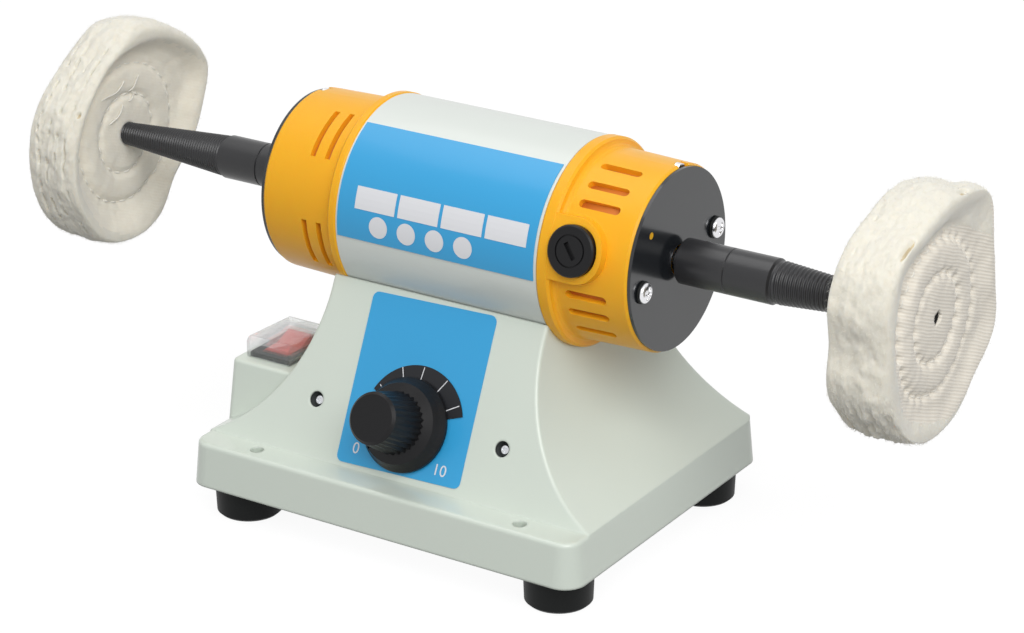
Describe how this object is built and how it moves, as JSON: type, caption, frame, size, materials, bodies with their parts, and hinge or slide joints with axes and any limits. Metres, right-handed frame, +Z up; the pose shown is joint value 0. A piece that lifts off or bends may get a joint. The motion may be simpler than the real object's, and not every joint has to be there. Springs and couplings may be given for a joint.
{
  "type": "dental polishing lathe",
  "caption": "Small double-ended bench polishing lathe with a motor on a flared base, speed knob, covered rocker switch and cotton buffs on tapered spindles.",
  "frame": {"origin": "under the middle of the base at bench level", "axes": "+X along the spindle to the right, +Y to the rear, +Z up"},
  "size_m": [0.436, 0.17, 0.1868],
  "materials": {
    "casting_paint": "gloss powder coat, pale grey-green",
    "barrel_paint": "satin silver-grey paint",
    "amber_plastic": "moulded ABS, amber yellow",
    "black_sheet": "gloss black disc",
    "black_steel": "black oxide",
    "cotton": "unbleached cotton, stitched plies",
    "black_rubber": "moulded rubber",
    "black_plastic": "moulded black plastic",
    "red_plastic": "moulded red plastic",
    "clear_cover": "clear soft plastic",
    "blue_print": "printed film, sky blue",
    "black_print": "printed film, black",
    "zinc_sheet": "zinc-plated sheet steel",
    "screw_metal": "plated screws",
    "core_steel": "stacked laminations",
    "bearing_steel": "ground steel",
    "shaft_steel": "ground steel",
    "copper": "enamelled copper wire",
    "carbon": "pressed carbon",
    "brass": "nickel-plated brass",
    "spring_steel": "spring wire",
    "board": "printed circuit board with parts"
  },
  "bodies": {
    "root": {"base_housing": "casting_paint", "bottom_cover": "zinc_sheet", "foot_screws": "screw_metal", "cover_screws": "screw_metal", "saddle_screws": "screw_metal", "motor_barrel": "barrel_paint", "left_end_cap": "amber_plastic", "right_end_cap": "amber_plastic", "left_cover_disc": "black_sheet", "right_cover_disc": "black_sheet", "left_disc_screws": "screw_metal", "right_disc_screws": "screw_metal", "motor_bolts": "screw_metal", "field_core": "core_steel", "upper_field_coil": "copper", "lower_field_coil": "copper", "left_bearing": "bearing_steel", "right_bearing": "bearing_steel", "barrel_label": "blue_print", "panel_label": "blue_print", "dial_scale": "black_print", "potentiometer": "zinc_sheet", "pot_nut": "screw_metal", "panel_screws": "screw_metal", "control_board": "board", "switch_base": "black_plastic", "switch_boot": "clear_cover", "cord_gland": "black_rubber", "foot_front_left": "black_rubber", "foot_front_right": "black_rubber", "foot_rear_left": "black_rubber", "foot_rear_right": "black_rubber", "front_brush_holder": "black_plastic", "front_brush_spring": "spring_steel", "front_brush_cap": "black_plastic", "rear_brush_holder": "black_plastic", "rear_brush_spring": "spring_steel", "rear_brush_cap": "black_plastic"},
    "spindle": {"armature_shaft": "shaft_steel", "armature_core": "core_steel", "armature_winding": "copper", "commutator": "copper", "cooling_fan": "black_plastic", "left_spindle": "black_steel", "right_spindle": "black_steel", "set_screws": "black_steel", "left_buff": "cotton", "right_buff": "cotton", "bearing_inner_rings": "bearing_steel"},
    "knob": {"speed_knob": "black_plastic", "pot_shaft": "brass"},
    "rocker_body": {"rocker": "red_plastic"},
    "front_brush": {"front_carbon_brush": "carbon"},
    "rear_brush": {"rear_carbon_brush": "carbon"}
  },
  "joints": [
    {"name": "spindle_spin", "type": "hinge", "parent": "root", "child": "spindle", "pos_m": [0.002, 0.0095, 0.1335], "axis": [1, 0, 0], "continuous": true},
    {"name": "knob_turn", "type": "hinge", "parent": "root", "child": "knob", "pos_m": [0, -0.05329, 0.05763], "axis": [0, -0.8902, 0.4555], "range_deg": [-280, 0]},
    {"name": "rocker_tilt", "type": "hinge", "parent": "root", "child": "rocker_body", "pos_m": [-0.08363, -0.024, 0.0639], "axis": [1, 0, 0], "range_deg": [-22, 0]},
    {"name": "front_brush_slide", "type": "slide", "parent": "root", "child": "front_brush", "axis": [0, -0.9603, 0.279], "range_m": [0, 0.006], "stiffness_N_per_m": 150, "deforming": ["front_brush_spring"]},
    {"name": "rear_brush_slide", "type": "slide", "parent": "root", "child": "rear_brush", "axis": [0, 0.9603, -0.279], "range_m": [0, 0.006], "stiffness_N_per_m": 150, "deforming": ["rear_brush_spring"]}
  ]
}
